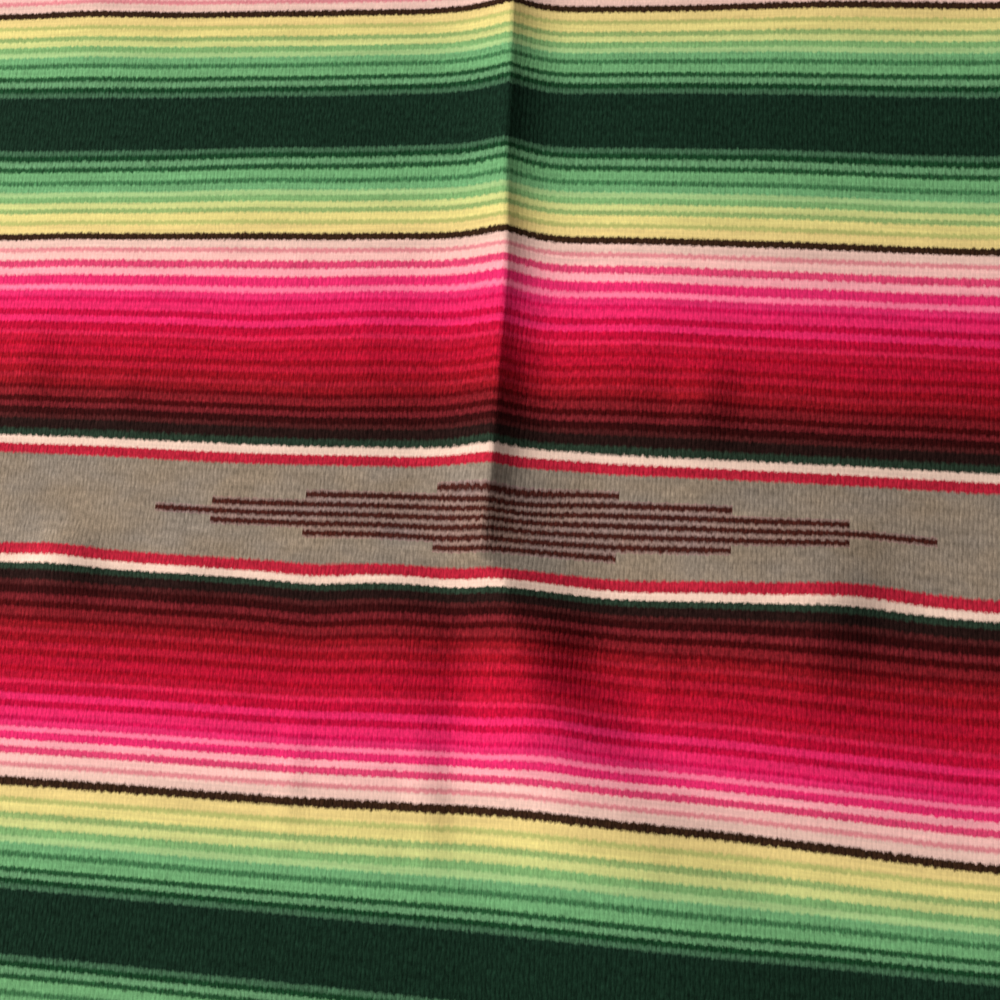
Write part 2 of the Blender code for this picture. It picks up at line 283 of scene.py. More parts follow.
# ---- how the weft was beaten in ----
# Pulls on the picks, in millimetres: x, y, reach along x and y, and how far towards the head.
WEFT_PULLS = (
    (10, 500, 170, 100, 3.0), (10, 160, 55, 60, 5.2), (30, 80, 120, 50, 3.6),
    (-18, 440, 24, 180, 2.8), (-28, 292, 30, 12, 1.8), (15, 335, 60, 22, 2.4),
    (25, 300, 30, 14, 1.6), (-8, 278, 36, 13, -3.4), (-80, 500, 50, 60, 2.0),
    (-80, 400, 45, 30, 1.8), (-185, 495, 60, 45, 1.9), (-182, 385, 36, 26, -1.8),
    (-130, 342, 44, 26, -2.2), (130, 410, 85, 85, -3.0), (95, 492, 45, 50, -1.2),
    (205, 352, 36, 30, -1.9), (-370, 450, 36, 60, -2.0), (-185, 270, 90, 70, -2.2),
    (-20, 246, 50, 16, -2.2), (60, 226, 48, 26, -2.6), (-34, 220, 20, 34, -1.4),
    (90, 244, 50, 12, -1.0), (-125, 208, 28, 36, -2.6), (-305, 232, 36, 18, 2.0),
    (208, 240, 44, 36, 3.7), (-72, 160, 40, 60, 1.8), (130, 165, 40, 36, 1.7),
    (-12, 136, 18, 30, -1.2), (32, 134, 22, 24, 1.6), (-330, 120, 70, 80, -1.3),
    (-340, 310, 50, 28, -1.2), (280, 150, 100, 110, -4.0), (278, 105, 46, 45, -1.8),
    (270, 440, 90, 120, -2.6), (-320, 480, 80, 90, -0.8), (-100, -250, 180, 120, 3.0),
    (260, -420, 150, 140, -3.4), (-20, -480, 26, 160, 2.6), (60, -330, 50, 40, -2.4),
    (-210, -560, 60, 40, 2.0), (-340, -700, 150, 120, -3.0), (80, -850, 200, 120, 3.0),
    (380, 820, 150, 120, 2.6), (120, 720, 60, 45, -2.4), (-150, 840, 180, 120, -2.8),
)
# Uneven beating, in millimetres: distance from the middle of a grey band, and how far the
# picks sit off.
BEAT = (
    (0, -0.9), (31, -0.5), (37, -0.9), (43, -0.9), (48, -0.2), (54, 0.3),
    (58, 0.1), (69, -1.0), (78, -1.3), (94, -1.5), (109, -2.2), (127, -2.1),
    (141, -1.5), (149, -0.8), (156, 0.5), (166, 1.4), (174, 1.8), (180, 1.3),
    (186, 0.9), (192, 0.5), (201, 0.1), (210, -1.0), (219, -1.6), (232, -1.6),
    (245, -0.2), (256, 0.2), (266, 0.0),
)
BEAT_SHARES = (0.7, -0.6, 1.0, -0.8)   # how much of it each repeat shows, foot to head


def weft_shift(x, y):
    """How far the picks at a place sit towards the head from where the chart has them."""
    shift = np.zeros_like(x)
    for row in WEFT_PULLS:
        x0, y0, reach_x, reach_y, pull = (value * MILLIMETRE for value in row)
        shift += pull * np.exp(-((x - x0) / reach_x) ** 2 - ((y - y0) / reach_y) ** 2)
    from_foot = y + HEM
    repeat = np.clip(np.floor(from_foot / REPEAT), 0, len(BEAT_SHARES) - 1).astype(int)
    from_grey = np.abs(from_foot - (repeat + 0.5) * REPEAT) / MILLIMETRE
    beat = np.interp(from_grey, *np.array(BEAT).T)
    return shift + np.array(BEAT_SHARES)[repeat] * beat * MILLIMETRE


# ---- the stripe chart, from the middle of a grey band to the middle of a bottle green one ----
# Dyed yarns, as base colours.
YARNS = {
    "grey heather": (0.225, 0.175, 0.130),
    "scarlet": (0.39, 0.014, 0.032),
    "cream": (0.705, 0.494, 0.395),
    "ivy": (0.017, 0.032, 0.019),
    "black": (0.015, 0.0055, 0.0045),
    "maroon": (0.065, 0.010, 0.010),
    "coffee": (0.030, 0.0025, 0.0025),
    "claret": (0.14, 0.011, 0.0145),
    "mahogany": (0.055, 0.002, 0.0025),
    "russet": (0.18, 0.009, 0.0135),
    "wine": (0.11, 0.002, 0.004),
    "oxblood": (0.22, 0.005, 0.010),
    "ruby": (0.32, 0.009, 0.021),
    "garnet": (0.24, 0.003, 0.009),
    "cardinal": (0.38, 0.007, 0.024),
    "deep red": (0.26, 0.0024, 0.01),
    "red": (0.40, 0.005, 0.024),
    "dark red": (0.32, 0.0021, 0.013),
    "rose": (0.57, 0.013, 0.058),
    "crimson": (0.42, 0.003, 0.027),
    "fuchsia": (0.68, 0.018, 0.105),
    "carmine": (0.45, 0.003, 0.037),
    "raspberry": (0.54, 0.006, 0.067),
    "magenta": (0.67, 0.022, 0.12),
    "pink": (0.83, 0.16, 0.27),
    "blush": (0.81, 0.312, 0.35),
    "orchid": (0.62, 0.048, 0.13),
    "shell": (0.78, 0.43, 0.39),
    "dusty rose": (0.62, 0.205, 0.223),
    "ecru": (0.70, 0.45, 0.38),
    "jet": (0.031, 0.013, 0.006),
    "corn yellow": (0.67, 0.51, 0.195),
    "pear": (0.4, 0.405, 0.13),
    "maize": (0.65, 0.55, 0.195),
    "sage": (0.25, 0.352, 0.12),
    "straw": (0.52, 0.54, 0.2),
    "apple green": (0.178, 0.345, 0.127),
    "lime": (0.32, 0.475, 0.195),
    "leaf green": (0.136, 0.33, 0.138),
    "fern": (0.048, 0.155, 0.058),
    "pine": (0.0165, 0.072, 0.0245),
    "sea green": (0.112, 0.26, 0.12),
    "spruce": (0.008, 0.0435, 0.0147),
    "moss": (0.048, 0.12, 0.06),
    "bottle green": (0.006, 0.021, 0.011),
}
# Yarn and width of its stripe in millimetres.
STRIPES = (
    ("grey heather", 31.0), ("scarlet", 7.1), ("cream", 5.4), ("ivy", 4.7), ("black", 6.4),
    ("maroon", 3.0), ("coffee", 5.1), ("claret", 3.8), ("mahogany", 4.1), ("russet", 5.1),
    ("wine", 3.2), ("oxblood", 4.6), ("ruby", 3.2), ("garnet", 5.5), ("cardinal", 4.3),
    ("deep red", 4.1), ("red", 6.0), ("dark red", 3.2), ("red", 5.2), ("rose", 2.9),
    ("crimson", 6.1), ("fuchsia", 4.5), ("carmine", 4.5), ("fuchsia", 5.6), ("raspberry", 3.1),
    ("magenta", 4.5), ("pink", 3.4), ("magenta", 6.0), ("blush", 4.8), ("orchid", 4.9),
    ("shell", 5.5), ("dusty rose", 3.2), ("ecru", 5.9), ("jet", 5.1), ("corn yellow", 6.4),
    ("pear", 3.1), ("maize", 5.7), ("sage", 3.8), ("straw", 4.6), ("apple green", 4.7),
    ("lime", 3.8), ("leaf green", 5.2), ("fern", 3.4), ("leaf green", 6.3), ("pine", 3.5),
    ("sea green", 3.9), ("spruce", 3.8), ("moss", 3.3), ("bottle green", 19.5),
)
STRIPES_PER_RAMP = 12        # a Color Ramp holds 32 stops at most
# The stepped lines on a grey band: half length and middle, from the longest line outwards.
STEP_LINES = ((0.245, 0.0085), (0.200, 0.0018), (0.134, -0.0014), (0.057, 0.0070))
STEP_DRIFT = 0.010           # how far a line's middle may lie from the cloth's
STEP_PITCH = 0.0061
STEP_THICKNESS = 0.0036
STEP_CENTRE = 0.0001
STEP_YARN = (0.050, 0.011, 0.0075)
STEP_GROUND = (0.250, 0.155, 0.134)
GROUND_SHARE = 0.85          # how much of it shows over the grey heather
EDGE_BLUR = 0.0009           # fibres of both yarns mix this far to either side of a colour edge
# Grey heather is carded unevenly: brownish in one place and bluish in the next.
HEATHER_WARM = (1.04, 1.005, 0.95)
HEATHER_COOL = (0.965, 0.995, 1.05)
# Streaks in the yarns: how wide and long, and how far they go lighter and darker.
WOOL_FIBRES = (0.0007, 0.0026, 0.27)
WOOL_CLUMPS = (0.0018, 0.0030, 0.11)
YARN_LOTS = (0.040, 0.0022, 0.13)
HEATHER_PATCHES = (0.016, 0.012, 0.10)
HEATHER_TINTS = (0.028, 0.017, 0.25)
WARP_FIBRES = (0.0004, 0.004, 0.16)
WARP_PATCHES = (0.010, 0.020, 0.08)
WARP_PALE = (0.640, 0.560, 0.440)
WARP_DARK = (0.540, 0.450, 0.330)
YARN_SLANT = 0.7             # how steeply the twist of a warp yarn runs round it


# ---- node helpers ----
def fill(tree, socket, value):
    """Link a socket to another one, or set its own value."""
    if isinstance(value, bpy.types.NodeSocket):
        tree.links.new(value, socket)
    else:
        socket.default_value = value


def calc(tree, operation, *values):
    """A Math node; numbers may stand where sockets go."""
    node = tree.nodes.new("ShaderNodeMath")
    node.operation = operation
    for socket, value in zip(node.inputs, values):
        fill(tree, socket, value)
    return node.outputs[0]


def plus(tree, first, second):
    return calc(tree, "ADD", first, second)


def minus(tree, first, second):
    return calc(tree, "SUBTRACT", first, second)


def over(tree, first, second):
    return calc(tree, "DIVIDE", first, second)


def times(tree, product, *factors):
    """The product of two or more values."""
    for factor in factors:
        product = calc(tree, "MULTIPLY", product, factor)
    return product


def blend(tree, share, first, second, kind="MIX"):
    """A colour Mix node."""
    node = tree.nodes.new("ShaderNodeMix")
    node.data_type = "RGBA"
    node.blend_type = kind
    for label, value in (("Factor", share), ("A", first), ("B", second)):
        socket = next(s for s in node.inputs if s.name == label and s.enabled)
        fill(tree, socket, (*value, 1.0) if isinstance(value, tuple) else value)
    return next(s for s in node.outputs if s.enabled)


def scaled_colour(tree, colour, factor):
    """A colour times a value."""
    node = tree.nodes.new("ShaderNodeVectorMath")
    node.operation = "SCALE"
    fill(tree, node.inputs[0], colour)
    fill(tree, node.inputs["Scale"], factor)
    return node.outputs[0]


def remap(tree, value, low, high, to_low, to_high):
    """A clamped Map Range node."""
    node = tree.nodes.new("ShaderNodeMapRange")
    for socket, number in zip(node.inputs, (value, low, high, to_low, to_high)):
        fill(tree, socket, number)
    return node.outputs[0]


def noise(tree, vector, scale, detail=2.0, roughness=0.5):
    """Value of a Noise Texture."""
    node = tree.nodes.new("ShaderNodeTexNoise")
    fill(tree, node.inputs["Vector"], vector)
    node.inputs["Scale"].default_value = scale
    node.inputs["Detail"].default_value = detail
    node.inputs["Roughness"].default_value = roughness
    return node.outputs["Fac"]


def stretched(tree, operation, place, sizes, layer=0.0):
    """A place (across, along), multiplied or divided by sizes, as a vector for a noise."""
    node = tree.nodes.new("ShaderNodeCombineXYZ")
    for socket, value, size in zip(node.inputs, place, sizes):
        fill(tree, socket, calc(tree, operation, value, size))
    node.inputs["Z"].default_value = layer
    return node.outputs[0]


def colour_ramp(tree, value, stops, interpolation="LINEAR"):
    """A Color Ramp through stops of (position, colour)."""
    node = tree.nodes.new("ShaderNodeValToRGB")
    ramp = node.color_ramp
    ramp.interpolation = interpolation
    ramp.elements[0].position = stops[0][0]
    ramp.elements[0].color = (*stops[0][1], 1.0)
    ramp.elements.remove(ramp.elements[1])
    for position, colour in stops[1:]:
        ramp.elements.new(position).color = (*colour, 1.0)
    fill(tree, node.inputs[0], value)
    return node.outputs[0]


def split_map(tree, map_name):
    """The two coordinates of a UV map."""
    source = tree.nodes.new("ShaderNodeUVMap")
    source.uv_map = map_name
    parts = tree.nodes.new("ShaderNodeSeparateXYZ")
    tree.links.new(source.outputs[0], parts.inputs[0])
    return parts.outputs[0], parts.outputs[1]


def new_group(name, inputs, outputs):
    """A shader node group.  Sockets named Color hold a colour, and all others a value."""
    tree = bpy.data.node_groups.new(name, "ShaderNodeTree")

    def add_socket(label, way):
        kind = "NodeSocketColor" if label == "Color" else "NodeSocketFloat"
        return tree.interface.new_socket(label, in_out=way, socket_type=kind)

    for label, start in inputs.items():
        add_socket(label, "INPUT").default_value = start
    for label in outputs:
        add_socket(label, "OUTPUT")
    given = tree.nodes.new("NodeGroupInput").outputs
    return tree, given, tree.nodes.new("NodeGroupOutput").inputs


def place_group(tree, group, **values):
    """Put a group into a material; underscores in the names stand for spaces."""
    node = tree.nodes.new("ShaderNodeGroup")
    node.node_tree = group
    for label, value in values.items():
        fill(tree, node.inputs[label.replace("_", " ")], value)
    return node.outputs


# ---- node groups ----
PLACE = {"Across": 0.0, "Along": 0.0}
NOISE_RANGE = (0.36, 0.64)   # most of a noise's values lie in it


def make_toothed_edge():
    """Shifts the place along the warp from rib to rib, as picks of two colours interlock."""
    tree, given, put_out = new_group(
        "toothed colour edge",
        PLACE | {"Rib Pitch": RIB_PITCH, "Tooth Depth": TOOTH_DEPTH, "Wander": TOOTH_WANDER},
        ["Along"],
    )
    place = given["Across"], given["Along"]
    wave = calc(tree, "SINE", times(tree, over(tree, place[0], given["Rib Pitch"]), math.pi))
    fibres = noise(tree, stretched(tree, "MULTIPLY", place, (620.0, 240.0)), 1.0, 3.0, 0.7)
    packing = noise(tree, stretched(tree, "MULTIPLY", place, (70.0, 220.0), 4.0), 1.0)
    strength = remap(tree, packing, *NOISE_RANGE, 0.2, 1.5)
    depth = times(tree, given["Tooth Depth"], times(tree, wave, strength))
    wander = times(tree, given["Wander"], times(tree, minus(tree, fibres, 0.5), 2.0))
    fill(tree, put_out["Along"], plus(tree, place[1], plus(tree, depth, wander)))
    return tree


def make_stripe_chart():
    """Colour of the yarn at a place along the warp, and where the yarn is grey heather."""
    tree, given, put_out = new_group(
        "stripe chart", {"Along": 0.0}, ["Color", "Heather", "From Grey"])
    half = 0.5 * REPEAT
    from_foot = plus(tree, given["Along"], HEM)
    from_grey = minus(tree, half, calc(tree, "PINGPONG", from_foot, half))
    edges = [0.0]
    for _, width in STRIPES:
        edges.append(edges[-1] + width * MILLIMETRE)
    for first in range(0, len(STRIPES) - 1, STRIPES_PER_RAMP):
        last = first + STRIPES_PER_RAMP
        low = 0.5 * (edges[first] + edges[first + 1]) if first else 0.0
        high = 0.5 * (edges[last] + edges[last + 1]) if last < len(STRIPES) - 1 else edges[-1]
        stops = [(0.0, YARNS[STRIPES[first][0]])]
        for i in range(first, last):
            for stripe, way in ((i, -1), (i + 1, 1)):
                place = (edges[i + 1] + way * EDGE_BLUR - low) / (high - low)
                stops.append((place, YARNS[STRIPES[stripe][0]]))
        found = colour_ramp(tree, over(tree, minus(tree, from_grey, low), high - low), stops)
        if first:
            found = blend(tree, calc(tree, "GREATER_THAN", from_grey, low), colour, found)
        colour = found
    fill(tree, put_out["Color"], colour)
    fill(tree, put_out["Heather"], calc(tree, "LESS_THAN", from_grey, edges[1]))
    signed = minus(tree, calc(tree, "FRACT", over(tree, from_foot, REPEAT)), 0.5)
    fill(tree, put_out["From Grey"], times(tree, signed, REPEAT))
    return tree


def make_stepped_lines():
    """Masks of the lines woven into a grey band and of the ground between them."""
    tree, given, put_out = new_group(
        "stepped lines",
        {"Across": 0.0, "From Grey": 0.0, "Pitch": STEP_PITCH, "Thickness": STEP_THICKNESS},
        ["Lines", "Ground"],
    )
    lines = over(tree, minus(tree, given["From Grey"], STEP_CENTRE), given["Pitch"])
    nearest = calc(tree, "ROUND", lines)
    level = calc(tree, "ABSOLUTE", nearest)
    off = calc(tree, "ABSOLUTE", minus(tree, lines, nearest))
    levels = float(len(STEP_LINES))
    longest = STEP_LINES[0][0]
    stops = []
    for i, (length, middle) in enumerate(STEP_LINES):
        coded = (length / longest, 0.5 + 0.5 * middle / STEP_DRIFT, 0.0)
        stops.append((max(0.0, (i - 0.5) / levels), coded))
    found = tree.nodes.new("ShaderNodeSeparateColor")
    coded = colour_ramp(tree, over(tree, level, levels), stops, "CONSTANT")
    fill(tree, found.inputs[0], coded)
    half_length = times(tree, found.outputs[0], longest)
    middle = times(tree, minus(tree, found.outputs[1], 0.5), 2.0 * STEP_DRIFT)
    reach = calc(tree, "ABSOLUTE", minus(tree, given["Across"], middle))
    within = times(tree, calc(tree, "LESS_THAN", reach, half_length),
                   calc(tree, "LESS_THAN", level, levels - 0.5))
    beyond = minus(tree, times(tree, off, given["Pitch"]), times(tree, given["Thickness"], 0.5))
    thin = remap(tree, beyond, -EDGE_BLUR, EDGE_BLUR, 1.0, 0.0)
    fill(tree, put_out["Lines"], times(tree, within, thin))
    fill(tree, put_out["Ground"], within)
    return tree


def arch(tree, turns):
    """1 in the middle of each whole turn, falling to 0 at its ends."""
    place = minus(tree, times(tree, calc(tree, "FRACT", turns), 2.0), 1.0)
    return minus(tree, 1.0, times(tree, place, place))


def make_rib_relief():
    """Relief of weft beads over the warps, and how deep a place lies between ribs, which sets the
    painted shade there.
    """
    tree, given, put_out = new_group(
        "rib relief",
        PLACE | {"Rib Pitch": RIB_PITCH, "Pick Pitch": PICK_PITCH},
        ["Height", "Valley"],
    )
    ribs = over(tree, given["Across"], given["Rib Pitch"])
    crown = arch(tree, ribs)
    stagger = times(tree, calc(tree, "PINGPONG", calc(tree, "FLOOR", ribs), 1.0), 0.5)
    bead = arch(tree, plus(tree, over(tree, given["Along"], given["Pick Pitch"]), stagger))
    height = plus(tree, times(tree, crown, 1.0 - BEAD_SHARE), times(tree, bead, BEAD_SHARE))
    fill(tree, put_out["Height"], height)
    fill(tree, put_out["Valley"], calc(tree, "POWER", minus(tree, 1.0, crown), 1.3))
    return tree


def make_yarn_streaks():
    """Light and dark fibres along the yarn: a factor round 1 for its colour."""
    tree, given, put_out = new_group(
        "yarn streaks",
        PLACE | {"Streak Width": 0.001, "Streak Length": 0.0045, "Amount": 0.25},
        ["Factor", "Raw"],
    )
    place = stretched(tree, "DIVIDE", (given["Across"], given["Along"]),
                      (given["Streak Width"], given["Streak Length"]))
    raw = noise(tree, place, 0.55, 2.5, 0.6)
    centred = times(tree, minus(tree, raw, 0.5), 4.0)
    factor = plus(tree, 1.0, times(tree, centred, given["Amount"]))
    fill(tree, put_out["Factor"], calc(tree, "MAXIMUM", factor, 0.0))
    fill(tree, put_out["Raw"], raw)
    return tree


def make_wool_fuzz():
    """Fine relief of loose fibres."""
    tree, given, put_out = new_group(
        "wool fuzz", PLACE | {"Fibre Size": 0.0006}, ["Height"])
    place = stretched(tree, "DIVIDE", (given["Across"], given["Along"]),
                      (given["Fibre Size"], given["Fibre Size"]))
    fill(tree, put_out["Height"], noise(tree, place, 0.6, 3.0, 0.65))
    return tree


def make_detail_by_tone():
    """How strongly yarn of a given colour shows its fibres and ribs: pale yarn the least."""
    tree, given, put_out = new_group(
        "detail by tone",
        {"Color": (1.0, 1.0, 1.0, 1.0), "In Dark": DETAIL_IN_DARK, "In Pale": DETAIL_IN_PALE},
        ["Strength"],
    )
    parts = tree.nodes.new("ShaderNodeSeparateColor")
    fill(tree, parts.inputs[0], given["Color"])
    tone = plus(tree, times(tree, parts.outputs[0], 0.5), times(tree, parts.outputs[1], 0.9))
    strength = remap(tree, tone, 0.0, 0.52, given["In Dark"], given["In Pale"])
    fill(tree, put_out["Strength"], strength)
    return tree


def place_streaks(tree, groups, place, streaks, detail=None):
    """Put streaks in at a place (across, along), stronger where more detail shows."""
    width, length, amount = streaks
    if detail is not None:
        amount = times(tree, detail, amount)
    return place_group(tree, groups["streaks"], Across=place[0], Along=place[1],
                       Streak_Width=width, Streak_Length=length, Amount=amount)


# ---- materials ----
def new_material(name):
    """A material with a plain Principled BSDF."""
    material = bpy.data.materials.new(name)
    material.use_nodes = True
    shader = material.node_tree.nodes["Principled BSDF"]
    shader.inputs["Specular IOR Level"].default_value = 0.04
    return material, material.node_tree, shader


def finish_yarn(tree, shader, colour, roughness, height, depth, sheen):
    """What the shaders of both yarns share: colour, roughness, relief and sheen."""
    tree.links.new(colour, shader.inputs["Base Color"])
    tree.links.new(roughness, shader.inputs["Roughness"])
    bump = tree.nodes.new("ShaderNodeBump")
    bump.inputs["Strength"].default_value = 0.6
    bump.inputs["Distance"].default_value = depth
    tree.links.new(height, bump.inputs["Height"])
    tree.links.new(bump.outputs[0], shader.inputs["Normal"])
    shader.inputs["Sheen Weight"].default_value = sheen


def make_striped_cloth(groups):
    """Weft-faced wool in the stripe chart's colours."""
    material, tree, shader = new_material("striped wool weave")
    place = split_map(tree, "weave")
    across, along = place
    spacing = noise(tree, stretched(tree, "MULTIPLY", place, (84.0, 100.0)), 1.0)
    ribbed = plus(tree, across, times(tree, minus(tree, spacing, 0.5), RIB_SWAY))
    toothed = place_group(tree, groups["teeth"], Across=ribbed, Along=along)["Along"]
    chart = place_group(tree, groups["chart"], Along=toothed)
    steps = place_group(tree, groups["steps"], Across=across, From_Grey=chart["From Grey"])
    ground = times(tree, steps["Ground"], GROUND_SHARE)
    colour = blend(tree, ground, chart["Color"], STEP_GROUND)
    colour = blend(tree, steps["Lines"], colour, STEP_YARN)
    relief = place_group(tree, groups["ribs"], Across=ribbed, Along=along)
    detail = place_group(tree, groups["detail"], Color=colour)["Strength"]
    fibres = place_streaks(tree, groups, place, WOOL_FIBRES, detail)
    clumps = place_streaks(tree, groups, place, WOOL_CLUMPS, detail)
    lots = place_streaks(tree, groups, place, YARN_LOTS)
    patches = place_streaks(tree, groups, place, HEATHER_PATCHES)
    heather = times(tree, chart["Heather"], minus(tree, patches["Factor"], 1.0))
    # painted shade: the colour is darkened between the ribs, more in dark yarn than in pale
    painted_rib_shade = times(tree, relief["Valley"], times(tree, detail, VALLEY_SHADE))
    factor = times(tree, fibres["Factor"], lots["Factor"], clumps["Factor"],
                   plus(tree, 1.0, heather), minus(tree, 1.0, painted_rib_shade))
    tints = place_streaks(tree, groups, place, HEATHER_TINTS)["Raw"]
    tint = blend(tree, remap(tree, tints, *NOISE_RANGE, 0.0, 1.0), HEATHER_WARM, HEATHER_COOL)
    colour = blend(tree, chart["Heather"], colour, tint, "MULTIPLY")
    colour = scaled_colour(tree, colour, factor)
    roughness = remap(tree, fibres["Raw"], 0.3, 0.7, 0.98, 0.86)
    fuzz = place_group(tree, groups["fuzz"], Across=across, Along=along, Fibre_Size=0.0007)
    height = plus(tree, relief["Height"], times(tree, fuzz["Height"], 0.45))
    height = times(tree, height,
                   remap(tree, detail, DETAIL_IN_PALE, DETAIL_IN_DARK, 0.5, 2.0))
    finish_yarn(tree, shader, colour, roughness, height, depth=0.00021, sheen=0.008)
    shader.inputs["Sheen Tint"].default_value = (1.0, 0.92, 0.86, 1.0)
    return material


def make_warp_yarn(groups):
    """Natural warp yarn, twisted."""
    material, tree, shader = new_material("natural warp yarn")
    around, along = split_map(tree, "yarn")
    slanted = plus(tree, around, times(tree, along, YARN_SLANT))
    fibres = place_streaks(tree, groups, (slanted, along), WARP_FIBRES)
    patches = place_streaks(tree, groups, (around, along), WARP_PATCHES)
    colour = blend(tree, patches["Raw"], WARP_PALE, WARP_DARK)
    colour = scaled_colour(tree, colour, times(tree, fibres["Factor"], patches["Factor"]))
    roughness = remap(tree, fibres["Raw"], 0.3, 0.7, 0.98, 0.88)
    fuzz = place_group(tree, groups["fuzz"], Across=slanted, Along=along, Fibre_Size=0.0004)
    height = plus(tree, fibres["Raw"], times(tree, fuzz["Height"], 0.5))
    finish_yarn(tree, shader, colour, roughness, height, depth=0.0003, sheen=0.10)
    return material


# ---- mesh helpers ----
MAP_INSET = 0.005            # margin of a patch in its bake map, where its rim lies


def add_object(name, data):
    """A new object in the scene."""
    made = bpy.data.objects.new(name, data)
    bpy.context.scene.collection.objects.link(made)
    return made


def new_piece(name, points, faces, normals, maps, material):
    """A mesh object from arrays; normals and maps are given for each corner of each face."""
    mesh = bpy.data.meshes.new(name)
    mesh.vertices.add(len(points))
    mesh.vertices.foreach_set("co", points.astype(np.float32).ravel())
    mesh.loops.add(faces.size)
    mesh.loops.foreach_set("vertex_index", faces.astype(np.int32).ravel())
    mesh.polygons.add(len(faces))
    mesh.polygons.foreach_set("loop_start", np.arange(0, faces.size, 4, dtype=np.int32))
    for label, places in maps:
        mesh.uv_layers.new(name=label, do_init=False)
        mesh.uv_layers[label].uv.foreach_set("vector", places.astype(np.float32).ravel())
    mesh.update(calc_edges=True)
    mesh.polygons.foreach_set("use_smooth", np.ones(len(faces), bool))
    if normals is not None:
        mesh.normals_split_custom_set(normals.reshape(-1, 3).tolist())
    mesh.validate()
    mesh.materials.append(material)
    return add_object(name, mesh)


def graded(stretches):
    """Distances from 0 on, in stretches of (how far, spacing)."""
    places = [0.0]
    for far, spacing in stretches:
        start = places[-1]
        count = max(1, round((far - start) / spacing))
        places += [start + (far - start) * (i + 1) / count for i in range(count)]
    return np.array(places)


# ---- the cloth ----
EDGE_ROUND = 0.0012          # how far in from an open edge the cloth starts to thin
EDGE_THINNING = 0.0007       # how much each face draws back at an open edge
ROW_SPACING = 0.0056
COLUMN_SPACING = 0.0050      # on the open cloth, and finer near the seam:
SEAM_COLUMNS = {-1: ((0.030, 0.0022), (0.080, 0.0032)), 1: ((0.050, 0.0022), (0.140, 0.0032))}
NORMAL_STEP = 0.0005
RIM_SLANT = 0.6              # how far a rim's normals lean up and down, to look rounded


def unit(vectors):
    """The same vectors at length 1."""
    return vectors / np.linalg.norm(vectors, axis=-1, keepdims=True)


def surface_normals(x, y):
    """Unit normals of the cloth's upper face."""
    slope_x = cloth_height(x + NORMAL_STEP, y) - cloth_height(x - NORMAL_STEP, y)
    slope_y = cloth_height(x, y + NORMAL_STEP) - cloth_height(x, y - NORMAL_STEP)
    return unit(np.stack([-slope_x, -slope_y, np.full_like(x, 2.0 * NORMAL_STEP)], -1))


def patch_grid(side, low_y, high_y):
    """Places of a patch's columns and rows, and how far its faces draw back there."""
    shares = graded((*SEAM_COLUMNS[side], (HALF_WIDTH - EDGE_ROUND, COLUMN_SPACING),
                     (HALF_WIDTH, EDGE_ROUND))) / HALF_WIDTH
    rows = graded([(high_y - low_y, ROW_SPACING)]) + low_y
    if low_y < EDGE_ROUND - HEM:
        rows = np.insert(rows, 1, rows[0] + EDGE_ROUND)
    if high_y > HEM - EDGE_ROUND:
        rows = np.insert(rows, -1, rows[-1] - EDGE_ROUND)
    y = np.repeat(rows[:, None], len(shares), 1)
    seam = seam_x(y)
    x = seam + (selvedge(y, side) - seam) * shares[None, :]
    open_edge = (np.abs(y) > HEM - 0.5 * EDGE_ROUND) | (shares == shares[-1])
    thin = np.where(open_edge, EDGE_THINNING, 0.0)
    if side < 0:
        x, y, thin = x[:, ::-1], y[:, ::-1], thin[:, ::-1]
    return x, y, thin


def cloth_patch(name, side, low_y, high_y, material):
    """One patch of the cloth: a closed thin shell on the cloth's own folds."""
    x, y, thin = patch_grid(side, low_y, high_y)
    z = cloth_height(x, y)
    upper = np.stack([x, y, z + CLOTH_THICKNESS - thin], -1).reshape(-1, 3)
    lower = np.stack([x, y, z + thin], -1).reshape(-1, 3)
    points = np.concatenate([upper, lower])
    index = np.arange(x.size).reshape(x.shape)
    top = [index[:-1, :-1], index[:-1, 1:], index[1:, 1:], index[1:, :-1]]
    top = np.stack(top, -1).reshape(-1, 4)
    bottom = top[:, ::-1] + x.size
    rims = []
    for edge in (index[:, 0], index[::-1, -1], index[0, ::-1], index[-1]):
        under = edge + x.size
        rims.append(np.stack([edge[:-1], edge[1:], under[1:], under[:-1]], -1))
    faces = np.concatenate([top, bottom, *rims])

    left, right = selvedge(y, -1), selvedge(y, 1)
    across = ((x - left) / (right - left) - 0.5) * CLOTH_WIDTH
    weave = np.stack([across, y - weft_shift(x, y)], -1).reshape(-1, 2)
    weave = np.concatenate([weave, weave])[faces.ravel()]
    low = np.array([x.min(), low_y])
    size = np.array([x.max() - x.min(), high_y - low_y])
    bake = MAP_INSET + (1.0 - 2.0 * MAP_INSET) * ((points[:, :2] - low) / size)
    bake = bake[faces.ravel()]

    up = surface_normals(x, y).reshape(-1, 3)
    normals = [up[top.ravel()], -up[bottom.ravel() - x.size]]
    start = top.size + bottom.size
    for rim, way in zip(rims, ((-1.0, 0.0), (1.0, 0.0), (0.0, -1.0), (0.0, 1.0))):
        slant = np.tile((RIM_SLANT, RIM_SLANT, -RIM_SLANT, -RIM_SLANT), len(rim))
        normals.append(unit(np.column_stack([np.tile(way, (rim.size, 1)), slant])))
        corners = bake[start:start + rim.size]
        corners[slant < 0.0] += np.array(way) * MAP_INSET * 0.9
        start += rim.size
    return new_piece(name, points, faces, np.concatenate(normals),
                     [("weave", weave), ("OFBake", bake)], material)


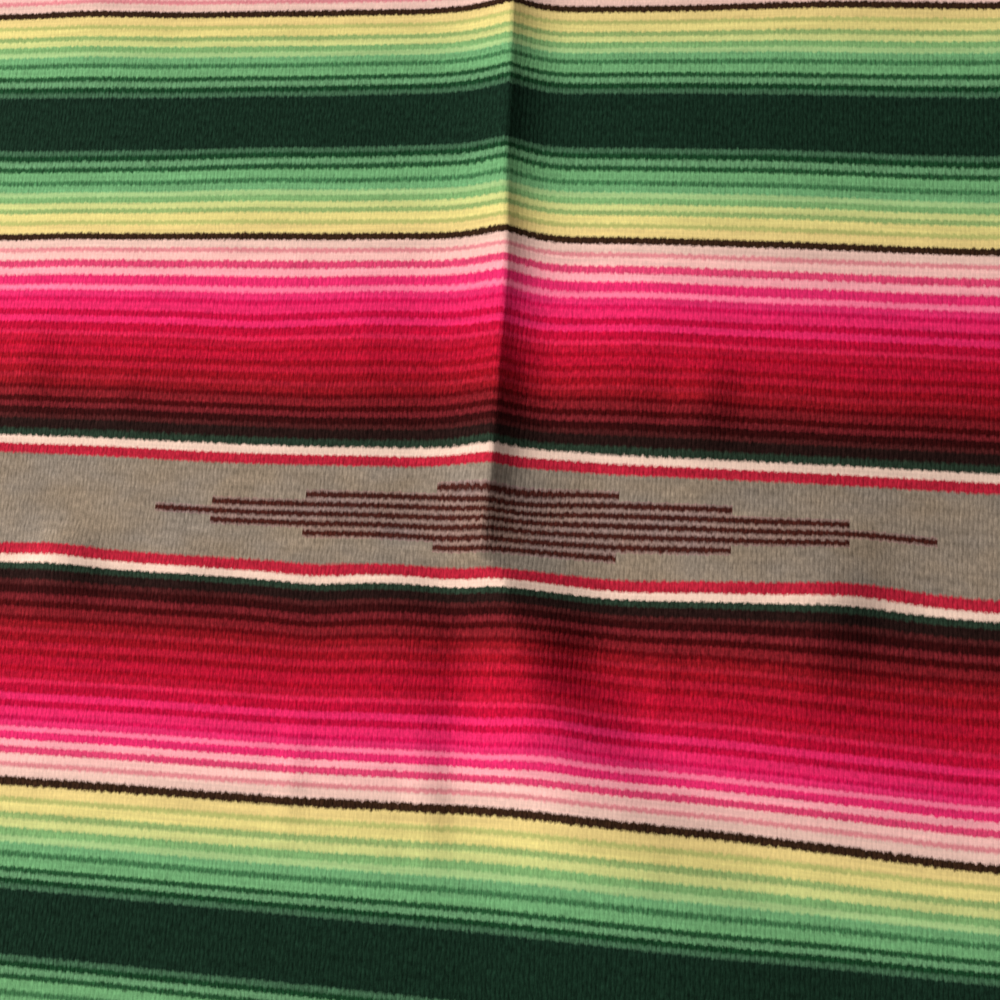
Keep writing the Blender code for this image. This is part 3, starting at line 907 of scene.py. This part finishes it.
# ---- the fringe ----
ENDS_PER_STRAND = 4          # warp ends gathered in one strand
END_RADIUS = 0.00062
END_NARROWING = 0.3          # an end's radius at its tip, as a share
END_SHORTENING = 0.035       # ends of one strand stop unevenly, by this share of its length
END_SIDES = 6
ROOT_TUCK = 0.002            # a strand starts this far inside the heading
TURN_ABOVE_KNOT = 0.009      # length of one turn of the ends round each other
TURN_BELOW_KNOT = 0.030
BUNDLE_WIDTH = 0.00078       # from the middle of a strand to the middle of its ends
BUNDLE_HEIGHT = 0.00070
BUNDLE_FLARE = 0.00030       # added to the width towards the tip,
FLARE_START = 0.05           # from this far down the strand
FLARE_RUN = 0.03             # and over this length
KNOT_GRIP = 0.010            # this near to the knot the ends lie closer together,
GRIP_SHARE = 0.35            # down to this share of the width and height
KNOT_LIFT = 0.35             # share of the hem's lift that is left at the knot
STRAND_BEND = 0.0011
FRINGE_REACH = HALF_WIDTH - SELVEDGE_DRAW_IN
KNOT_TURNS = 2.3
KNOT_LENGTH = 0.0052
KNOT_RADIUS = 0.00098        # of the yarn in the knot
KNOT_REACH = (0.0021, 0.0, 0.00125)   # from the middle of the strand, along x, y and z
KNOT_SIDES = 7
TWINING_ROWS = 3
TWINE_RADIUS = 0.00066       # of a twined yarn, and how far it swings along y
TWINE_RISE = 0.00045         # how far it swings up and down
TWINE_SIDES = 5
TWINE_STEP = 0.0011          # spacing of the points along it
YARN_VARIANTS = 16
KNOT_VARIANTS = 4
MAP_COLUMNS = YARN_VARIANTS + KNOT_VARIANTS + 2 * TWINING_ROWS
MAP_LENGTH = 0.62            # longest run of yarn that a map column holds
STRAND_MAP_LENGTH = 0.11
MAP_GUTTER = 0.05            # free share of a map column on either side


def uneven(index, pace):
    """A steady value between -1 and 1 that differs from strand to strand."""
    return math.sin(index * pace + 1.3 * math.sin(index * 0.7 * pace))


def tube(line, outward, radii, sides, column, length_held):
    """Points, quads, yarn map and bake map of a tube along a line.

    The caps are quads too, so a tube with an odd number of sides keeps a sliver open.
    """
    tangent = unit(np.gradient(line, axis=0))
    first = unit(outward - (outward * tangent).sum(1, keepdims=True) * tangent)
    second = np.cross(tangent, first)
    turn = (2.0 * math.pi * np.arange(sides) / sides)[None, :, None]
    ring = np.cos(turn) * first[:, None] + np.sin(turn) * second[:, None]
    points = (line[:, None] + ring * radii[:, None, None]).reshape(-1, 3)

    row, side = np.indices((len(line) - 1, sides))
    rows = np.stack([row, row, row + 1, row + 1], -1).reshape(-1, 4)
    places = np.stack([side, side + 1, side + 1, side], -1).reshape(-1, 4)
    cap = np.array([(0, i, i + 1, i + 2) for i in range(1, sides - 2, 2)])
    end = len(line) - 1
    faces = np.concatenate([rows * sides + places % sides, cap, end * sides + sides - 1 - cap])
    rows = np.concatenate([rows, np.zeros_like(cap), np.full_like(cap, end)])
    share = np.concatenate([places, cap, cap]) / sides

    run = np.concatenate([[0.0], np.cumsum(np.linalg.norm(np.diff(line, axis=0), axis=1))])[rows]
    girth = 2.0 * math.pi * radii.max()
    yarn = np.stack([share * girth + 0.05 * column, run], -1)
    over_column = (column + MAP_GUTTER + (1.0 - 2.0 * MAP_GUTTER) * share) / MAP_COLUMNS
    bake = np.stack([over_column, np.minimum(run / length_held, 1.0)], -1)
    return points, faces, yarn.reshape(-1, 2), bake.reshape(-1, 2)


def joined(name, tubes, material):
    """One piece from many tubes."""
    points, faces, yarn, bake = zip(*tubes)
    starts = np.cumsum([0] + [len(part) for part in points[:-1]])
    faces = [part + start for part, start in zip(faces, starts)]
    maps = [("yarn", np.concatenate(yarn)), ("OFBake", np.concatenate(bake))]
    return new_piece(name, np.concatenate(points), np.concatenate(faces), None, maps, material)


def hem_height(x, end):
    """Height of the heading's underside, which follows the hem's folds."""
    return cloth_height(x, np.full_like(x, end * HEM)) + FLOOR_GAP


def circling(turn):
    """Unit vectors across a strand at each turn round it."""
    return np.stack([np.cos(turn), np.zeros_like(turn), np.sin(turn)], -1)


def add_strand(tubes, index, end):
    """One knotted strand of warp ends."""
    centre = -FRINGE_REACH + (index + 0.5) * 2.0 * FRINGE_REACH / STRANDS_PER_END
    root_y = HEM + SEAM_GAP + HEADING_WIDTH
    root_z = float(hem_height(np.array(centre), end)) + 0.5 * HEADING_THICKNESS
    length = STRAND_LENGTH + STRAND_LENGTH_SPREAD * uneven(index, 2.1 + 0.3 * end)
    swing = STRAND_SPLAY * uneven(index, 1.4 - 0.2 * end)
    bend = STRAND_BEND * math.sin(0.5 * math.pi * (1.0 + uneven(index, 0.9)))
    knot_z = FLOOR_GAP + KNOT_LIFT * (root_z - 0.5 * HEADING_THICKNESS - FLOOR_GAP)
    stops = (-ROOT_TUCK, KNOT_DISTANCE, length)
    heights = (root_z, knot_z + 0.5 * KNOT_HEIGHT, FLOOR_GAP + 0.5 * TIP_HEIGHT)

    def place(s):
        x = centre + swing * s / length + bend * np.sin(math.pi * np.clip(s / length, 0, 1))
        return np.stack([x, end * (root_y + s), np.interp(s, stops, heights)], -1)

    for number in range(ENDS_PER_STRAND):
        shortened = END_SHORTENING * (1.0 + uneven(ENDS_PER_STRAND * index + number, 1.9))
        s = np.concatenate([np.linspace(-ROOT_TUCK, KNOT_DISTANCE, 7)[:-1],
                            np.linspace(KNOT_DISTANCE, length * (1.0 - shortened), 20)])
        past_knot = s - KNOT_DISTANCE
        turns = np.where(past_knot < 0.0, s / TURN_ABOVE_KNOT, 1.7 + past_knot / TURN_BELOW_KNOT)
        turn = 2.0 * math.pi * (number / ENDS_PER_STRAND + turns) + 0.9 * index
        loose = np.clip(np.abs(past_knot) / KNOT_GRIP, GRIP_SHARE, 1.0)
        flare = BUNDLE_FLARE * np.clip((s - FLARE_START) / FLARE_RUN, 0.0, 1.0)
        wide = (BUNDLE_WIDTH + flare) * loose
        outward = circling(turn)
        line = place(s) + outward * np.stack([wide, wide, BUNDLE_HEIGHT * loose], -1)
        radii = np.full(len(s), END_RADIUS)
        radii[-1] *= END_NARROWING
        variant = (ENDS_PER_STRAND * index + number) % YARN_VARIANTS
        tubes.append(tube(line, outward, radii, END_SIDES, variant, STRAND_MAP_LENGTH))
    t = np.linspace(0.0, 1.0, 26)
    turn = 2.0 * math.pi * KNOT_TURNS * t + 1.1 * index
    tuck = np.sin(math.pi * np.clip(t * 1.02, 0.0, 1.0)) ** 0.35
    outward = circling(turn)
    line = place(KNOT_DISTANCE + KNOT_LENGTH * (t - 0.5))
    line = line + outward * tuck[:, None] * np.array(KNOT_REACH)
    tubes.append(tube(line, outward, np.full(len(t), KNOT_RADIUS), KNOT_SIDES,
                      YARN_VARIANTS + index % KNOT_VARIANTS, STRAND_MAP_LENGTH))


def add_heading(tubes, low_x, high_x, end):
    """Rows of twining that lock the last pick, each of two yarns turned round each other."""
    x = np.linspace(low_x, high_x, round((high_x - low_x) / TWINE_STEP) + 1)
    radii = np.full_like(x, TWINE_RADIUS)
    z = hem_height(x, end) + 0.5 * HEADING_THICKNESS
    for row in range(TWINING_ROWS):
        y = HEM + SEAM_GAP + (row + 0.5) * HEADING_WIDTH / TWINING_ROWS
        for yarn in range(2):
            turn = 2.0 * math.pi * (x / (2.0 * RIB_PITCH) + 0.5 * yarn) * (-1) ** row
            outward = np.stack([np.zeros_like(x), np.cos(turn), np.sin(turn)], -1)
            line = np.stack([x, np.full_like(x, end * y), z], -1)
            line = line + outward * np.array([0.0, TWINE_RADIUS, TWINE_RISE])
            column = YARN_VARIANTS + KNOT_VARIANTS + 2 * row + yarn
            tubes.append(tube(line, outward, radii, TWINE_SIDES, column, MAP_LENGTH))


def fringe_half(name, side, end, material):
    """Half of one end's fringe, with its part of the heading."""
    tubes = []
    low_x, high_x = sorted((0.0, side * FRINGE_REACH))
    add_heading(tubes, low_x, high_x, end)
    half = STRANDS_PER_END // 2
    first = 0 if side < 0 else half
    for index in range(first, first + half):
        add_strand(tubes, index, end)
    return joined(name, tubes, material)


# ---- everything in its place ----
SIDES = ((-1, "left"), (1, "right"))


def build_serape():
    """Two patches for each repeat of the stripes, and the two halves of each fringe."""
    groups = {
        "teeth": make_toothed_edge(),
        "chart": make_stripe_chart(),
        "steps": make_stepped_lines(),
        "ribs": make_rib_relief(),
        "streaks": make_yarn_streaks(),
        "fuzz": make_wool_fuzz(),
        "detail": make_detail_by_tone(),
    }
    cloth = make_striped_cloth(groups)
    yarn = make_warp_yarn(groups)
    for end, end_name in ((-1, "foot"), (1, "head")):
        for side, side_name in SIDES:
            piece = fringe_half(f"fringe_{end_name}_{side_name}", side, end, yarn)
            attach(piece, "root")
            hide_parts(f"fringe_{end_name}_end")
    for number, repeat_name in enumerate(("foot", "lower", "upper", "head")):
        low_y = number * REPEAT - HEM
        for side, side_name in SIDES:
            name = f"cloth_{repeat_name}_{side_name}"
            patch = cloth_patch(name, side, low_y, low_y + REPEAT, cloth)
            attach(patch, "root")
            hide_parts("cloth_panel")


FLOOR_REACH = 60.0
FLOOR_SIDES = 128
FLOOR_DROP = 0.0003
FLOOR_COLOURS = (0.50, 0.495, 0.485), (0.54, 0.535, 0.525)


def build_floor():
    """A plain pale floor under the cloth."""
    rim = [(FLOOR_REACH * math.cos(turn), FLOOR_REACH * math.sin(turn), 0.0)
           for turn in np.linspace(0.0, 2.0 * math.pi, FLOOR_SIDES, endpoint=False)]
    mesh = bpy.data.meshes.new("floor")
    mesh.from_pydata(rim, [], [tuple(range(FLOOR_SIDES))])
    floor = add_object("floor", mesh)
    floor.location.z = -FLOOR_DROP
    material, tree, shader = new_material("pale floor")
    shade = noise(tree, tree.nodes.new("ShaderNodeTexCoord").outputs["Object"], 3.0, 3.0)
    tree.links.new(blend(tree, shade, *FLOOR_COLOURS), shader.inputs["Base Color"])
    shader.inputs["Roughness"].default_value = 0.9
    mesh.materials.append(material)


VIEW_CENTRE = Vector((-0.02, 0.27, 0.0))
KEY_ELEVATION = math.radians(35.0)
KEY_TURN = math.radians(12.0)    # from straight left towards the head
KEY_BREADTH = math.radians(9.0)  # angle that each light fills, seen from the cloth
KEY_STRENGTH = 3.34
LAMP_DISTANCE = 1.6              # a small lamp in line with the key light fades to the right
LAMP_AIM = Vector((-0.35, 0.27, 0.0))
LAMP_BEAM = math.radians(80.0)
LAMP_POWER = 2.37
LIGHT_COLOUR = (1.0, 0.985, 0.965)
SURROUND_COLOUR = (0.98, 0.99, 1.0, 1.0)
SURROUND_STRENGTH = 0.34


def build_light():
    """A soft key light low on the left, a lamp in line with it, and an even surround."""
    flat = math.cos(KEY_ELEVATION)
    way = Vector((-flat * math.cos(KEY_TURN), flat * math.sin(KEY_TURN), math.sin(KEY_ELEVATION)))
    key = bpy.data.lights.new("key light", "SUN")
    key.angle = KEY_BREADTH
    key.energy = KEY_STRENGTH
    lamp = bpy.data.lights.new("near lamp", "AREA")
    lamp.shape = "DISK"
    lamp.size = 2.0 * LAMP_DISTANCE * math.tan(0.5 * KEY_BREADTH)
    lamp.spread = LAMP_BEAM
    lamp.energy = LAMP_POWER
    place = VIEW_CENTRE + way * LAMP_DISTANCE
    for source, heading in ((key, -way), (lamp, LAMP_AIM - place)):
        source.color = LIGHT_COLOUR
        light = add_object(source.name, source)
        light.location = place
        light.rotation_mode = "QUATERNION"
        light.rotation_quaternion = heading.to_track_quat("-Z", "Y")
    world = bpy.data.worlds.new("studio surround")
    world.use_nodes = True
    surround = world.node_tree.nodes["Background"]
    surround.inputs["Color"].default_value = SURROUND_COLOUR
    surround.inputs["Strength"].default_value = SURROUND_STRENGTH
    bpy.context.scene.world = world
    bpy.context.scene.view_settings.view_transform = "Standard"


CAMERA_PLACE = (0.078, 0.1659, 0.6778)
CAMERA_TURNS = (("Y", 7.524), ("X", 9.376), ("Z", 3.853))   # in degrees


def build_camera():
    """A hand-held view from above the cloth, tilted a little."""
    data = bpy.data.cameras.new("camera")
    data.lens = 39.6
    data.sensor_width = 36.0
    data.clip_start = 0.02
    data.clip_end = 100.0
    camera = add_object("camera", data)
    pose = Matrix.Translation(CAMERA_PLACE)
    for axis, turn in CAMERA_TURNS:
        pose = pose @ Matrix.Rotation(math.radians(turn), 4, axis)
    camera.matrix_world = pose
    bpy.context.scene.camera = camera


build_floor()
build_light()
build_camera()
build_serape()

bpy.context.view_layer.update()
